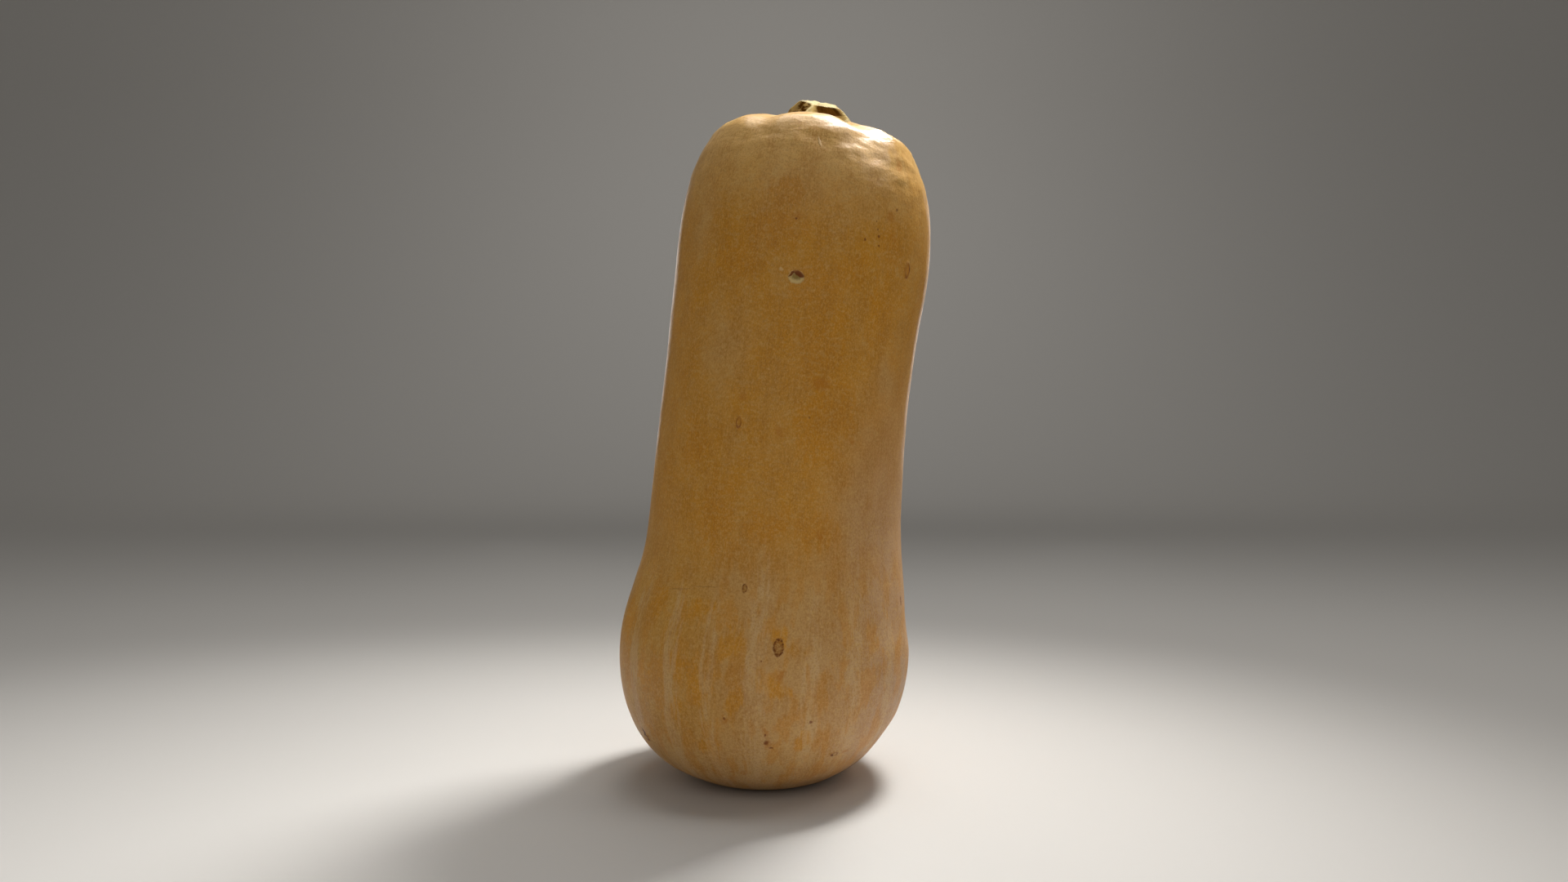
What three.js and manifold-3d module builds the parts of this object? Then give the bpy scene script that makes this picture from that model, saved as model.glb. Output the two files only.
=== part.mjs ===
// A butternut squash standing on its blossom end, with the woody stub of its cut stem.
// Millimetres, +Z up. The origin is under the middle of the fruit, on the surface it stands on.
// Angles go round the fruit in degrees, from the front (-Y) towards the right (+X).
// The fruit is drawn round a straight axis first, and then that axis is bent to lean to the right.
import * as THREE from 'three';
import { mergeVertices } from 'three/addons/utils/BufferGeometryUtils.js';
import Module from 'manifold-3d';

const wasm = await Module();
wasm.setup();

// ---- driving dimensions: the fruit ----

const STANDING_RING_INNER_RADIUS = 10.5;
const STANDING_RING_OUTER_RADIUS = 21;

// Blossom end, from the axis outwards: a corky button in a shallow dimple. [radius, height]
const BLOSSOM_END = [
  [0, 1.5],
  [3.2, 1.7],
  [4.2, 2.8],
  [7, 1.7],
  [STANDING_RING_INNER_RADIUS, 0],
];

// The side of the fruit: seed bulb, waist, long neck, shoulder and the rim of the stem dimple.
const SIDE = [
  [STANDING_RING_OUTER_RADIUS, 0],
  [29, 3],
  [39.9, 10],
  [48.2, 21],
  [52.8, 35],
  [53.7, 51],
  [50.7, 68],
  [47.6, 87],
  [46.4, 111],
  [45.8, 140],
  [46.3, 170],
  [46.9, 195],
  [45, 214.5],
  [40, 227.5],
  [33.6, 235.5],
  [19.8, 240],
  [16.6, 240.6],
  [14, 238],
];

const SOCKET_RADIUS = 8.9;
const SOCKET_FLOOR = 233;
// From the dimple into the socket that holds the root of the stem.
const STEM_SOCKET = [
  [11.5, 236.9],
  [SOCKET_RADIUS, 236.4],
  [SOCKET_RADIUS, SOCKET_FLOOR],
  [0, SOCKET_FLOOR],
];

// How far the axis stands to the right at each height. [height, offset]
const LEAN = [
  [0, -3.7],
  [25, -4],
  [50, -3.8],
  [75, -1.3],
  [100, 0.4],
  [130, 2.8],
  [160, 6.1],
  [190, 10.1],
  [220, 12.6],
  [245, 15.5],
];

// Five lobes swell round the stem, with a furrow between each two that runs out on the shoulder.
const LOBE_SWELL = 1.2;
const LOBES_START_HEIGHT = 211;
const LOBES_FULL_HEIGHT = 240.6;
const LOBES_END_RADIUS = 12;
const LOBES_FULL_RADIUS = 16;
const FURROW_WIDTH = 11.5;
const FURROWS = [
  { angle: -30, depth: 1.6 },
  { angle: 28, depth: 2 },
  { angle: 103, depth: 1.8 },
  { angle: 179, depth: 1.5 },
  { angle: -105, depth: 1.7 },
];

// Faint ribs that run down the bulb.
const BULB_RIB_COUNT = 10;
const BULB_RIB_HEIGHT = 0.2;
const BULB_RIB_MIDDLE = 48;
const BULB_RIB_REACH = 30;

// Broad flats where the fruit lay or pressed against something as it grew.
const FLATS = [
  { angle: 84, height: 16, depth: 0.9, halfAngle: 24, halfHeight: 9 },
  { angle: -140, height: 52, depth: 1.4, halfAngle: 34, halfHeight: 26 },
  { angle: 150, height: 172, depth: 1.2, halfAngle: 30, halfHeight: 34 },
];

// Healed scabs stand a little proud of the rind, and a gouge is cut into it.
const SCAB_PROUD = 0.45;
const SCABS = [
  { angle: 5, height: 57.3, width: 3.6, length: 6 },
  { angle: 1.8, height: 24.6, width: 3.4, length: 3.6 },
  { angle: -9.8, height: 74.9, width: 1.8, length: 3 },
  { angle: -58.3, height: 20.6, width: 4.4, length: 2.6 },
  { angle: 31.2, height: 18.1, width: 4, length: 2.2 },
  { angle: -18.5, height: 129.1, width: 2.2, length: 4 },
  { angle: 50.7, height: 187.9, width: 3.4, length: 5.4 },
  { angle: 168, height: 118, width: 3, length: 5 },
  { angle: -122, height: 84, width: 3.6, length: 4.4 },
];
const GOUGE = { angle: -1.7, height: 178.6, width: 5.6, length: 4, depth: 1.7 };

// ---- driving dimensions: the stem stub ----

const GAP = 0.3;
const STEM_ROOT_RADIUS = SOCKET_RADIUS - GAP;
const STEM_ROOT_BOTTOM = SOCKET_FLOOR + GAP;

// The stub from its root to its cut end, as its ribs run. [radius, height]
const STEM_ROOT = [
  [0, STEM_ROOT_BOTTOM],
  [STEM_ROOT_RADIUS, STEM_ROOT_BOTTOM],
  [STEM_ROOT_RADIUS, 237],
];
const STEM_FLANK = [
  [11.8, 238.4],
  [13.2, 241],
  [13.3, 244.2],
  [12.1, 247.2],
  [10.2, 249.4],
  [8.2, 250.9],
];
const STEM_CUT_END = [
  [7.3, 251.3],
  [4.5, 251],
  [0, 250.8],
];
const STEM_RIBS = [
  { angle: -90, reach: 0.21 },
  { angle: -20, reach: 0.27 },
  { angle: 58, reach: 0.3 },
  { angle: 132, reach: 0.27 },
  { angle: -160, reach: 0.25 },
];
const STEM_CORE_SHARE = 0.73;
const STEM_RIB_WIDTH = 20;
const STEM_SHIFT_RIGHT = 0.9;
const FLUTES_START_HEIGHT = 237;
const FLUTES_FULL_HEIGHT = 241;

// The knife cut slopes down to the front, and a little to the right.
const CUT_SLOPE_START = 242;
const CUT_HEIGHT = 251;
const CUT_SLOPE_FRONT = Math.tan(THREE.MathUtils.degToRad(22));
const CUT_SLOPE_RIGHT = Math.tan(THREE.MathUtils.degToRad(4));

// ---- how finely the solids are faceted ----

const FRUIT_SEGMENTS = 72;
const STEM_SEGMENTS = 60;
const STEPS_PER_KNOT = 3;
const SCAB_SEGMENTS = 14;
const SCAB_RINGS = 8;

// ---- small helpers ----

const toVector = ([radius, height]) => new THREE.Vector2(radius, height);

function smoothRise(value, start, end) {
  return THREE.MathUtils.smoothstep(value, start, end);
}

// Difference of two angles in degrees, between -180 and 180.
function turnBetween(angle, other) {
  return THREE.MathUtils.euclideanModulo(angle - other + 180, 360) - 180;
}

function bell(distance, width) {
  return Math.exp(-((distance / width) ** 2));
}

function smoothOutline(knots) {
  const curve = new THREE.SplineCurve(knots.map(toVector));
  return curve.getPoints((knots.length - 1) * STEPS_PER_KNOT);
}

// Offset and slope of the bent axis at a height, on a smooth curve through the LEAN points.
function leanAt(height) {
  const last = LEAN.length - 1;
  const slopeAt = (i) => {
    if (i === 0) return 0;
    const after = Math.min(i + 1, last);
    return (LEAN[after][1] - LEAN[i - 1][1]) / (LEAN[after][0] - LEAN[i - 1][0]);
  };
  if (height >= LEAN[last][0]) {
    const slope = slopeAt(last);
    return { offset: LEAN[last][1] + slope * (height - LEAN[last][0]), slope };
  }
  const above = LEAN.findIndex(([top]) => top > height);
  const i = Math.max(above - 1, 0);
  const [low, lowOffset] = LEAN[i];
  const [high, highOffset] = LEAN[i + 1];
  const span = high - low;
  const t = (height - low) / span;
  const a = slopeAt(i) * span;
  const b = slopeAt(i + 1) * span;
  const rise = highOffset - lowOffset;
  const c = 3 * rise - 2 * a - b;
  const d = a + b - 2 * rise;
  return {
    offset: lowOffset + a * t + c * t ** 2 + d * t ** 3,
    slope: (a + 2 * c * t + 3 * d * t ** 2) / span,
  };
}

// Carries a point from the straight axis to the bent one.
function bend(x, y, height) {
  const { offset, slope } = leanAt(height);
  const tilt = Math.atan(slope);
  return new THREE.Vector3(offset + x * Math.cos(tilt), y, height - x * Math.sin(tilt));
}

function pointRound(radius, height, angle) {
  const turn = THREE.MathUtils.degToRad(angle);
  return bend(radius * Math.sin(turn), -radius * Math.cos(turn), height);
}

// ---- the fruit's skin ----

function lobeRelief(radius, height, angle) {
  const share = smoothRise(height, LOBES_START_HEIGHT, LOBES_FULL_HEIGHT)
    * smoothRise(radius, LOBES_END_RADIUS, LOBES_FULL_RADIUS);
  let relief = LOBE_SWELL;
  for (const furrow of FURROWS) {
    relief -= furrow.depth * bell(turnBetween(angle, furrow.angle), FURROW_WIDTH);
  }
  return share * relief;
}

function bulbRelief(height, angle) {
  const turn = THREE.MathUtils.degToRad(angle * BULB_RIB_COUNT);
  const share = bell(height - BULB_RIB_MIDDLE, BULB_RIB_REACH);
  return BULB_RIB_HEIGHT * share * Math.cos(turn);
}

function flatRelief(height, angle) {
  let relief = 0;
  for (const flat of FLATS) {
    relief -= flat.depth
      * bell(turnBetween(angle, flat.angle), flat.halfAngle)
      * bell(height - flat.height, flat.halfHeight);
  }
  return relief;
}

// Height of the skin above its plain turned shape. The standing ring stays flat.
function skinRelief(radius, height, angle) {
  if (radius < LOBES_END_RADIUS) return 0;
  const offTheGround = smoothRise(height, 0, 6);
  return lobeRelief(radius, height, angle)
    + offTheGround * (bulbRelief(height, angle) + flatRelief(height, angle));
}

const skinOutline = [
  ...BLOSSOM_END.map(toVector),
  ...smoothOutline(SIDE),
  ...STEM_SOCKET.map(toVector),
];

// Turns an outline round the axis, moves each point by a rule, and bends the whole.
function turnedBody(outline, segments, placePoint) {
  const geometry = new THREE.LatheGeometry(outline, segments);
  geometry.rotateX(Math.PI / 2);
  const position = geometry.getAttribute('position');
  const normal = geometry.getAttribute('normal');
  for (let i = 0; i < position.count; i += 1) {
    const radius = Math.hypot(position.getX(i), position.getY(i));
    const angle = THREE.MathUtils.radToDeg(Math.atan2(position.getX(i), -position.getY(i)));
    const outward = Math.hypot(normal.getX(i), normal.getY(i))
      * Math.sign(normal.getX(i) * position.getX(i) + normal.getY(i) * position.getY(i));
    const placed = placePoint(radius, position.getZ(i), angle, outward, normal.getZ(i));
    position.setXYZ(i, placed.x, placed.y, placed.z);
  }
  return geometry;
}

function plainSkin() {
  return turnedBody(skinOutline, FRUIT_SEGMENTS, (radius, height, angle, outward, upward) => {
    const relief = skinRelief(radius, height, angle);
    return pointRound(radius + outward * relief, height + upward * relief, angle);
  });
}

// A point on the side of the fruit at a height and an angle.
function pointOnSide(height, angle) {
  const above = skinOutline.findIndex((point, i) => i > BLOSSOM_END.length && point.y >= height);
  const low = skinOutline[above - 1];
  const high = skinOutline[above];
  const share = (height - low.y) / (high.y - low.y);
  const radius = THREE.MathUtils.lerp(low.x, high.x, share);
  return pointRound(radius + skinRelief(radius, height, angle), height, angle);
}

// ---- marks on the rind ----

// A lens that lies on the rind: width runs round the fruit, length runs up it.
function lensOnSide({ angle, height, width, length }, depth, sink) {
  const step = 0.5;
  const round = pointOnSide(height, angle + step).sub(pointOnSide(height, angle - step)).normalize();
  const up = pointOnSide(height + step, angle).sub(pointOnSide(height - step, angle)).normalize();
  const out = new THREE.Vector3().crossVectors(round, up).normalize();
  const lens = new THREE.SphereGeometry(1, SCAB_SEGMENTS, SCAB_RINGS);
  lens.rotateX(Math.PI / 2);
  lens.scale(width / 2, length / 2, depth);
  lens.applyMatrix4(new THREE.Matrix4().makeBasis(round, up, out));
  const centre = pointOnSide(height, angle).addScaledVector(out, -sink);
  lens.translate(centre.x, centre.y, centre.z);
  return lens;
}

// ---- solids ----

function toSolid(geometry) {
  const bare = geometry.clone();
  bare.deleteAttribute('normal');
  bare.deleteAttribute('uv');
  const merged = mergeVertices(bare);
  return new wasm.Manifold(new wasm.Mesh({
    numProp: 3,
    vertProperties: Float32Array.from(merged.getAttribute('position').array),
    triVerts: Uint32Array.from(merged.getIndex().array),
  }));
}

function toGeometry(solid) {
  const mesh = solid.getMesh();
  const geometry = new THREE.BufferGeometry();
  geometry.setAttribute('position', new THREE.BufferAttribute(mesh.vertProperties, 3));
  geometry.setIndex(new THREE.BufferAttribute(mesh.triVerts, 1));
  geometry.computeVertexNormals();
  return geometry;
}

function squashFruit() {
  let solid = toSolid(plainSkin());
  for (const scab of SCABS) {
    solid = solid.add(toSolid(lensOnSide(scab, 2 * SCAB_PROUD, SCAB_PROUD)));
  }
  solid = solid.subtract(toSolid(lensOnSide(GOUGE, GOUGE.depth, 0)));
  const rind = new THREE.MeshStandardMaterial({ color: 0xd2a468, roughness: 0.42, metalness: 0 });
  const mesh = new THREE.Mesh(toGeometry(solid), rind);
  mesh.name = 'squash_fruit';
  return mesh;
}

// ---- the stem stub ----

function ribShare(angle) {
  let share = STEM_CORE_SHARE;
  for (const rib of STEM_RIBS) {
    share += rib.reach * bell(turnBetween(angle, rib.angle), STEM_RIB_WIDTH);
  }
  return share;
}

function stemPoint(radius, height, angle) {
  const fluted = smoothRise(height, FLUTES_START_HEIGHT, FLUTES_FULL_HEIGHT);
  const reach = radius * THREE.MathUtils.lerp(1, ribShare(angle), fluted);
  const turn = THREE.MathUtils.degToRad(angle);
  const x = reach * Math.sin(turn);
  const y = -reach * Math.cos(turn);
  const cutShare = Math.max(0, height - CUT_SLOPE_START) / (CUT_HEIGHT - CUT_SLOPE_START);
  const slope = y * CUT_SLOPE_FRONT - x * CUT_SLOPE_RIGHT;
  return bend(x + fluted * STEM_SHIFT_RIGHT, y, height + cutShare * slope);
}

function stemStub() {
  const outline = [
    ...STEM_ROOT.map(toVector),
    ...smoothOutline(STEM_FLANK),
    ...STEM_CUT_END.map(toVector),
  ];
  const solid = toSolid(turnedBody(outline, STEM_SEGMENTS, stemPoint));
  const bark = new THREE.MeshStandardMaterial({ color: 0xb39a6c, roughness: 0.8, metalness: 0 });
  const mesh = new THREE.Mesh(toGeometry(solid), bark);
  mesh.name = 'stem_stub';
  return mesh;
}

const squash = new THREE.Group();
squash.add(squashFruit(), stemStub());

export default squash;
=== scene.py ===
"""A butternut squash standing on its blossom end, dressed for a pale studio.

Lengths are in millimetres until a mesh is finished, and are then scaled to metres.
Angles go round the fruit in degrees, from the front (-Y) towards the right (+X).
The fruit and its stem are turned round a straight axis first. Relief is raised on them there,
and then the axis is bent to lean to the right.
"""

import math

import bmesh
import bpy
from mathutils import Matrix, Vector, noise


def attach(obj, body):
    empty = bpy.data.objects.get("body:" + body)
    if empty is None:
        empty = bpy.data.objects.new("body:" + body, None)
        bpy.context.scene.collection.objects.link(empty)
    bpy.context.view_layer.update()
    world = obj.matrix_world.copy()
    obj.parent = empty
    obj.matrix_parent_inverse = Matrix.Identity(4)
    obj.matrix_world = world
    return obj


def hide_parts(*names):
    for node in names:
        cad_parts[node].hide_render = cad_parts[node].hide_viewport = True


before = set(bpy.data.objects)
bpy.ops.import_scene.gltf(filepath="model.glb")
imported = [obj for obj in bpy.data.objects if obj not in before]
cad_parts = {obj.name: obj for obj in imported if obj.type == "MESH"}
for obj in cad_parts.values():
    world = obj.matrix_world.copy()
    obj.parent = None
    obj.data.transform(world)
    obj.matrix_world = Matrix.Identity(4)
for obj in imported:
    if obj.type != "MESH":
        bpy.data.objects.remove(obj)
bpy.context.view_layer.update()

MM = 0.001

# ---- the fruit's driving dimensions, in millimetres ----

# Blossom end, from the axis outwards: a corky button in a shallow dimple. (radius, height)
BLOSSOM_END = [(0, 1.5), (3.2, 1.7), (4.2, 2.8), (7, 1.7), (10.5, 0)]
BLOSSOM_BUTTON_RADIUS = 4.2
# Seed bulb, waist, long neck, shoulder and the rim of the stem dimple.
SIDE = [
    (21, 0), (29, 3), (39.9, 10), (48.2, 21), (52.8, 35), (53.7, 51), (50.7, 68), (47.6, 87),
    (46.4, 111), (45.8, 140), (46.3, 170), (46.9, 195), (45, 214.5), (40, 227.5), (33.6, 235.5),
    (19.8, 240), (16.6, 240.6), (14, 238),
]
# The skin closes under the stem.
DIMPLE = [(11.5, 236.9), (8, 236.4), (0, 236.2)]
# How far the axis stands to the right at each height. (height, offset)
LEAN = [
    (0, -3.7), (25, -4), (50, -3.8), (75, -1.3), (100, 0.4), (130, 2.8), (160, 6.1), (190, 10.1),
    (220, 12.6), (245, 15.5),
]

LOBE_SWELL = 1.2
LOBES_START_HEIGHT = 211
LOBES_FULL_HEIGHT = 240.6
LOBES_END_RADIUS = 12
LOBES_FULL_RADIUS = 16
FURROW_WIDTH = 11.5
FURROWS = [(-30, 1.6), (28, 2), (103, 1.8), (179, 1.5), (-105, 1.7)]  # angle, depth

BULB_RIB_COUNT = 10
BULB_RIB_HEIGHT = 0.2
BULB_RIB_MIDDLE = 48
BULB_RIB_REACH = 30

# Broad flats: angle, height, depth, half angle, half height.
FLATS = [(84, 16, 0.9, 24, 9), (-140, 52, 1.4, 34, 26), (150, 172, 1.2, 30, 34)]

# The fruit stands on a level ring at height 0. The relief of its side is full from this height up.
SIDE_RELIEF_FULL_HEIGHT = 6

# Marks in the skin: angle, height, width round the fruit, length up it.
CRUSTED_SCABS = [
    (5, 57.3, 3.4, 6.2), (-9.8, 74.9, 1.8, 3.2), (-122, 84, 3.6, 4.4),
]
HEALED_SCARS = [
    (-58.3, 20.6, 4.4, 2.6), (31.2, 18.1, 3.4, 1.8), (-18.5, 129.1, 2.2, 4), (50.7, 187.9, 3.4, 5.4),
    (168, 118, 3, 5),
]
SMEARED_SCAB = (1.8, 24.6, 3.2, 3.6)
SCABS = [*CRUSTED_SCABS, *HEALED_SCARS, SMEARED_SCAB]
GOUGE = (-1.7, 178.6, 5.6, 4.2)
# Widths round the fruit are measured on a circle of this radius, a little wider than the neck.
MARK_CIRCLE_RADIUS = 47.5

# A scab is a raised ring with crumbs inside it. Places and widths are shares of its half size.
SCAB_PROUD = 0.4
SCAB_REACH = 1.6
SCAB_RING, SCAB_RING_WIDTH, SCAB_RING_SHARE = 0.75, 0.3, 0.75
SCAB_MIDDLE_WIDTH, SCAB_MIDDLE_SHARE = 0.7, 0.45
SCAB_CRUMB_SIZE = 0.7  # millimetres

# The gouge has a steep wall, a floor that is shallower towards the bottom edge, and a raised lip.
GOUGE_DEPTH = 1.8
GOUGE_REACH = 1.8
GOUGE_WALL_POWER = 0.45
GOUGE_MIDDLE_SHARE = 0.62
GOUGE_LIP, GOUGE_LIP_PLACE, GOUGE_LIP_WIDTH = 0.16, 1.15, 0.16

# The growth coordinates run round a circle of this radius, and along the outline.
GROWTH_RADIUS = 50

# ---- how finely the meshes are drawn ----

# A step is along an outline, and segments go round it. Points closer than the merge distance are one.
SKIN_STEP = 1.25
SKIN_SEGMENTS = 252
KNOT_STEPS = 24
MERGE_DISTANCE = 0.001
# Round a mark the skin is drawn finer, to this share of the mark's size and so many millimetres more.
MARK_FINE_SHARE, MARK_FINE_MARGIN = 0.75, 1
MARK_CUTS = 3


def smooth_rise(value, start, end):
    """0 up to the start, 1 from the end on, and a smooth rise between them."""
    t = min(max((value - start) / (end - start), 0), 1)
    return t * t * (3 - 2 * t)


def bell(distance, width):
    return math.exp(-((distance / width) ** 2))


def turn_between(angle, other):
    """The shorter way round from one angle to another."""
    return (angle - other + 180) % 360 - 180


def round_axis(radius, height, angle):
    turn = math.radians(angle)
    return Vector((radius * math.sin(turn), -radius * math.cos(turn), height))


# ---- outlines ----


def smooth_outline(knots):
    """A smooth line through the knots, as a Catmull-Rom spline."""
    points = [Vector(knot) for knot in knots]
    padded = [points[0], *points, points[-1]]
    line = []
    for before, start, end, after in zip(padded, padded[1:], padded[2:], padded[3:]):
        pull_start, pull_end = (end - before) / 2, (after - start) / 2
        for step in range(KNOT_STEPS):
            t = step / KNOT_STEPS
            curved = (2 * start - 2 * end + pull_start + pull_end) * t ** 3
            curved += (3 * end - 3 * start - 2 * pull_start - pull_end) * t ** 2
            line.append(curved + pull_start * t + start)
    return [*line, points[-1]]


def even_points(line, step):
    """The same line, redrawn with its points about one step apart."""
    runs = [0.0]
    for start, end in zip(line, line[1:]):
        runs.append(runs[-1] + (end - start).length)
    count = round(runs[-1] / step)
    even, i = [], 0
    for k in range(count + 1):
        run = runs[-1] * k / count
        while i < len(line) - 2 and runs[i + 1] < run:
            i += 1
        even.append(line[i].lerp(line[i + 1], (run - runs[i]) / (runs[i + 1] - runs[i])))
    return even


def turned_body(outline, segments):
    """Spins an outline round the axis. Each point keeps its run, the distance along the outline."""
    bm = bmesh.new()
    run_layer = bm.verts.layers.float.new("run")
    verts = []
    for point in outline:
        vert = bm.verts.new(round_axis(point.x, point.y, 0))
        vert[run_layer] = 0 if not verts else verts[-1][run_layer] + (vert.co - verts[-1].co).length
        verts.append(vert)
    edges = [bm.edges.new(pair) for pair in zip(verts, verts[1:])]
    bmesh.ops.spin(
        bm, geom=verts + edges, cent=(0, 0, 0), axis=(0, 0, 1), angle=math.tau,
        steps=segments, use_merge=True,
    )
    bmesh.ops.remove_doubles(bm, verts=bm.verts, dist=MERGE_DISTANCE)
    bmesh.ops.recalc_face_normals(bm, faces=bm.faces)
    return bm


def refine(bm, centre, reach, cuts):
    """Draws the skin finer within reach of a place."""
    near = {vert for vert in bm.verts if (vert.co - centre).length < reach}
    edges = [edge for edge in bm.edges if edge.verts[0] in near and edge.verts[1] in near]
    bmesh.ops.subdivide_edges(bm, edges=edges, cuts=cuts, use_grid_fill=True)


# ---- the bent axis ----


def lean_slopes():
    """Slope of the axis at each height in LEAN. It stands upright on the ground."""
    slopes = [0.0]
    for (low, low_offset), (high, high_offset) in zip(LEAN, LEAN[2:] + LEAN[-1:]):
        slopes.append((high_offset - low_offset) / (high - low))
    return slopes


LEAN_SLOPES = lean_slopes()


def lean_at(height):
    """Offset and slope of the bent axis at a height."""
    if height >= LEAN[-1][0]:
        return LEAN[-1][1] + LEAN_SLOPES[-1] * (height - LEAN[-1][0]), LEAN_SLOPES[-1]
    i = max(next(k for k, (top, _) in enumerate(LEAN) if top > height) - 1, 0)
    (low, low_offset), (high, high_offset) = LEAN[i], LEAN[i + 1]
    span, rise = high - low, high_offset - low_offset
    t = (height - low) / span
    a, b = LEAN_SLOPES[i] * span, LEAN_SLOPES[i + 1] * span
    c, d = 3 * rise - 2 * a - b, a + b - 2 * rise
    return low_offset + a * t + c * t ** 2 + d * t ** 3, (a + 2 * c * t + 3 * d * t ** 2) / span


def bend(point):
    """Carries a point of the straight body to its place round the bent axis."""
    offset, slope = lean_at(point.z)
    tilt = math.atan(slope)
    return Vector((
        offset + point.x * math.cos(tilt), point.y, point.z - point.x * math.sin(tilt),
    ))


# ---- relief of the skin ----


def lobe_relief(radius, height, angle):
    share = smooth_rise(height, LOBES_START_HEIGHT, LOBES_FULL_HEIGHT)
    share *= smooth_rise(radius, LOBES_END_RADIUS, LOBES_FULL_RADIUS)
    if share == 0:
        return 0
    furrows = sum(depth * bell(turn_between(angle, at), FURROW_WIDTH) for at, depth in FURROWS)
    return share * (LOBE_SWELL - furrows)


def bulb_relief(height, angle):
    share = bell(height - BULB_RIB_MIDDLE, BULB_RIB_REACH)
    return BULB_RIB_HEIGHT * share * math.cos(math.radians(angle * BULB_RIB_COUNT))


def flat_relief(height, angle):
    relief = 0
    for at, middle, depth, half_angle, half_height in FLATS:
        relief -= depth * bell(turn_between(angle, at), half_angle) * bell(height - middle, half_height)
    return relief


# Grown unevenness: size across and up the fruit, height, and place in the noise. Two kinds of
# swelling, and then the fine grooves along the meridians.
GROWN_UNEVENNESS = [(36, 48, 0.35, 0), (13, 17, 0.12, 10), (4.5, 60, 0.09, 31)]
# Leathery wrinkles of the shoulder, coarse and fine, given in the same way.
SHOULDER_WRINKLES = [(8, 4, 0.5, 47), (4, 2, 0.25, 53)]
SHOULDER_START, SHOULDER_FULL = 198, 232
# The wrinkles are deepest on one side, within so many degrees, and this share as deep all round.
WRINKLED_SIDE, WRINKLED_REACH, WRINKLED_ALL_ROUND = 45, 45, 0.5


def noise_at(point, across, up, seed):
    """Smooth noise with bumps of a size across and up the fruit, in millimetres."""
    return noise.noise(Vector((point.x / across, point.y / across, point.z / up + seed)))


def layered_noise(point, layers):
    """Adds up layers of noise, each with its size across and up, its height and its place."""
    return sum(size * noise_at(point, across, up, seed) for across, up, size, seed in layers)


def grown_relief(point, height, angle):
    relief = layered_noise(point, GROWN_UNEVENNESS)
    wrinkled = smooth_rise(height, SHOULDER_START, SHOULDER_FULL)
    if wrinkled > 0:
        side = bell(turn_between(angle, WRINKLED_SIDE), WRINKLED_REACH)
        wrinkled *= WRINKLED_ALL_ROUND + (1 - WRINKLED_ALL_ROUND) * side
        relief += wrinkled * layered_noise(point, SHOULDER_WRINKLES)
    return relief


def mark_place(mark, point, angle):
    """Where a point lies on a mark, as shares of its half width and half length."""
    at, height, width, length = mark
    across = math.radians(turn_between(angle, at)) * MARK_CIRCLE_RADIUS
    return across / (width / 2), (point.z - height) / (length / 2)


def scab_relief(point, angle):
    relief = 0
    for scab in SCABS:
        reach = math.hypot(*mark_place(scab, point, angle))
        if reach < SCAB_REACH:
            ring = bell(reach - SCAB_RING, SCAB_RING_WIDTH)
            crumbs = 1 + noise.noise(point / SCAB_CRUMB_SIZE)
            middle = bell(reach, SCAB_MIDDLE_WIDTH) * crumbs
            relief += SCAB_PROUD * (SCAB_RING_SHARE * ring + SCAB_MIDDLE_SHARE * middle)
    return relief


def gouge_relief(point, angle):
    """A nail-shaped cut: a steep wall at the top, and a floor that rises gently to the bottom edge."""
    across, up = mark_place(GOUGE, point, angle)
    reach = math.hypot(across, up)
    if reach > GOUGE_REACH:
        return 0
    hollow = 0
    if reach < 1:
        floor = GOUGE_MIDDLE_SHARE + (1 - GOUGE_MIDDLE_SHARE) * up
        hollow = (1 - reach ** 2) ** GOUGE_WALL_POWER * floor
    lip = GOUGE_LIP * bell(reach - GOUGE_LIP_PLACE, GOUGE_LIP_WIDTH) * max(up, 0)
    return lip - GOUGE_DEPTH * hollow


def skin_relief(radius, height, angle, point):
    if radius < LOBES_END_RADIUS:
        return 0
    free = smooth_rise(height, 0, SIDE_RELIEF_FULL_HEIGHT)
    outside_dimple = smooth_rise(radius, LOBES_END_RADIUS, LOBES_FULL_RADIUS)
    relief = lobe_relief(radius, height, angle)
    relief += free * (bulb_relief(height, angle) + flat_relief(height, angle))
    relief += free * outside_dimple * grown_relief(point, height, angle)
    return relief + scab_relief(point, angle) + gouge_relief(point, angle)


# ---- finished pieces ----


def finished_piece(name, bm, moved_point, material, node, shares):
    """Moves every point of a turned body, and hands the piece over with its growth coordinates.
    Each of the shares is a rule that gives a value between 0 and 1 at a point and its angle."""
    bm.normal_update()
    run_layer = bm.verts.layers.float["run"]
    moved, growth = [], []
    kept = {share: [] for share in shares}
    for vert in bm.verts:
        radius = math.hypot(vert.co.x, vert.co.y)
        angle = math.degrees(math.atan2(vert.co.x, -vert.co.y))
        moved.append(moved_point(vert, radius, angle))
        growth.extend(round_axis(GROWTH_RADIUS, vert[run_layer], angle))
        for share, values in kept.items():
            values.append(shares[share](vert.co, angle))
    for vert, point in zip(bm.verts, moved):
        vert.co = point * MM
    for face in bm.faces:
        face.smooth = True
    mesh = bpy.data.meshes.new(name)
    bm.to_mesh(mesh)
    bm.free()
    mesh.attributes.new("growth", "FLOAT_VECTOR", "POINT").data.foreach_set("vector", growth)
    for share, values in kept.items():
        mesh.attributes.new(share, "FLOAT", "POINT").data.foreach_set("value", values)
    piece = bpy.data.objects.new(name, mesh)
    bpy.context.scene.collection.objects.link(piece)
    mesh.materials.append(material)
    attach(piece, "root")
    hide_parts(node)
    return piece


SKIN_OUTLINE = even_points(
    [*map(Vector, BLOSSOM_END), *smooth_outline(SIDE), *map(Vector, DIMPLE)], SKIN_STEP)


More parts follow.
